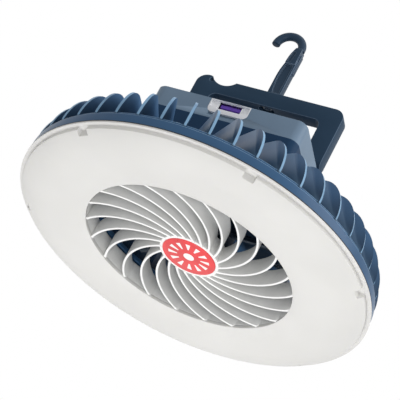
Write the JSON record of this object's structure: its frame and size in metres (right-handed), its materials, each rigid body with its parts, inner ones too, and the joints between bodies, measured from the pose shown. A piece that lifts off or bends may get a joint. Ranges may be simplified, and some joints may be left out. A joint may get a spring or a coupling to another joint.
{
  "type": "portable camping fan",
  "caption": "Round hanging camping fan with a ring lamp, spiral grille, finned housing, battery box, folding bracket and swivel hook.",
  "frame": {"origin": "on the fan's axis, in the plane of the lamp lens's crest that it rests on", "axes": "+Z from the lamp to the battery box and hook, +X along the hinge of the bracket, -Y towards the larger socket"},
  "size_m": [0.2, 0.2, 0.1573],
  "materials": {
    "lens": "satin, translucent white",
    "seal": "matt",
    "board_white": "white solder mask",
    "chips": "gloss",
    "tray": "dark coated",
    "screws": "plated",
    "grille": "satin white",
    "badge": "gloss",
    "housing": "satin blue",
    "impeller": "satin navy",
    "cup": "drawn steel",
    "magnet": "matt",
    "bearing_steel": "polished",
    "iron": "laminated",
    "copper": "enamelled wire",
    "board_green": "solder mask",
    "black_plastic": "matt",
    "box_lower": "satin navy",
    "box_upper": "satin slate",
    "cell": "shrink wrap",
    "nickel": "bright",
    "trim": "bright",
    "tongue": "satin violet",
    "button": "soft touch",
    "window": "translucent",
    "bracket": "satin navy",
    "hook": "satin navy",
    "washer": "nylon"
  },
  "bodies": {
    "fan_body": {"lamp_lens": "lens", "rim_seal": "seal", "led_board": "board_white", "led_chips": "chips", "lamp_tray": "tray", "tray_screws": "screws", "front_grille": "grille", "hub_badge": "badge", "grille_screws": "screws", "fin_housing": "housing", "front_bearing": "bearing_steel", "rear_bearing": "bearing_steel", "stator_core": "iron", "stator_coils": "copper", "motor_board": "board_green", "motor_base": "black_plastic", "motor_screws": "screws", "box_base": "box_lower", "base_screws": "screws", "box_cover": "box_upper", "cover_screws": "screws", "battery_cell_1": "cell", "battery_cell_2": "cell", "battery_cell_3": "cell", "battery_cell_4": "cell", "cell_holder": "black_plastic", "cell_tabs": "nickel", "main_board": "board_green", "board_parts": "black_plastic", "board_screws": "screws", "port_trim": "trim", "usb_a_shell": "nickel", "usb_a_tongue": "tongue", "usb_c_shell": "nickel", "usb_c_tongue": "black_plastic", "fan_switch": "black_plastic", "light_switch": "black_plastic", "charge_window": "window", "hinge_pins": "bearing_steel", "hinge_washers": "washer"},
    "rotor": {"impeller": "impeller", "rotor_cup": "cup", "rotor_magnet": "magnet", "motor_shaft": "bearing_steel", "shaft_clip": "iron"},
    "folding_bracket": {"bracket": "bracket"},
    "hook": {"hook_arm": "hook", "hook_tip": "hook", "hook_clip": "iron"},
    "fan_key": {"fan_button": "button"},
    "light_key": {"light_button": "button"}
  },
  "joints": [
    {"name": "rotor_spin", "type": "hinge", "parent": "fan_body", "child": "rotor", "pos_m": [0, 0, 0.0215], "axis": [0, 0, 1], "continuous": true},
    {"name": "bracket_fold", "type": "hinge", "parent": "fan_body", "child": "folding_bracket", "pos_m": [0, 0, 0.0786], "axis": [1, 0, 0], "range_deg": [-90, 90]},
    {"name": "hook_swivel", "type": "hinge", "parent": "folding_bracket", "child": "hook", "pos_m": [0, 0, 0.108], "axis": [0, 0, 1], "continuous": true},
    {"name": "fan_press", "type": "slide", "parent": "fan_body", "child": "fan_key", "axis": [0, 0, -1], "range_m": [0, 0.001], "stiffness_N_per_m": 800},
    {"name": "light_press", "type": "slide", "parent": "fan_body", "child": "light_key", "axis": [0, 0, -1], "range_m": [0, 0.001], "stiffness_N_per_m": 800}
  ]
}
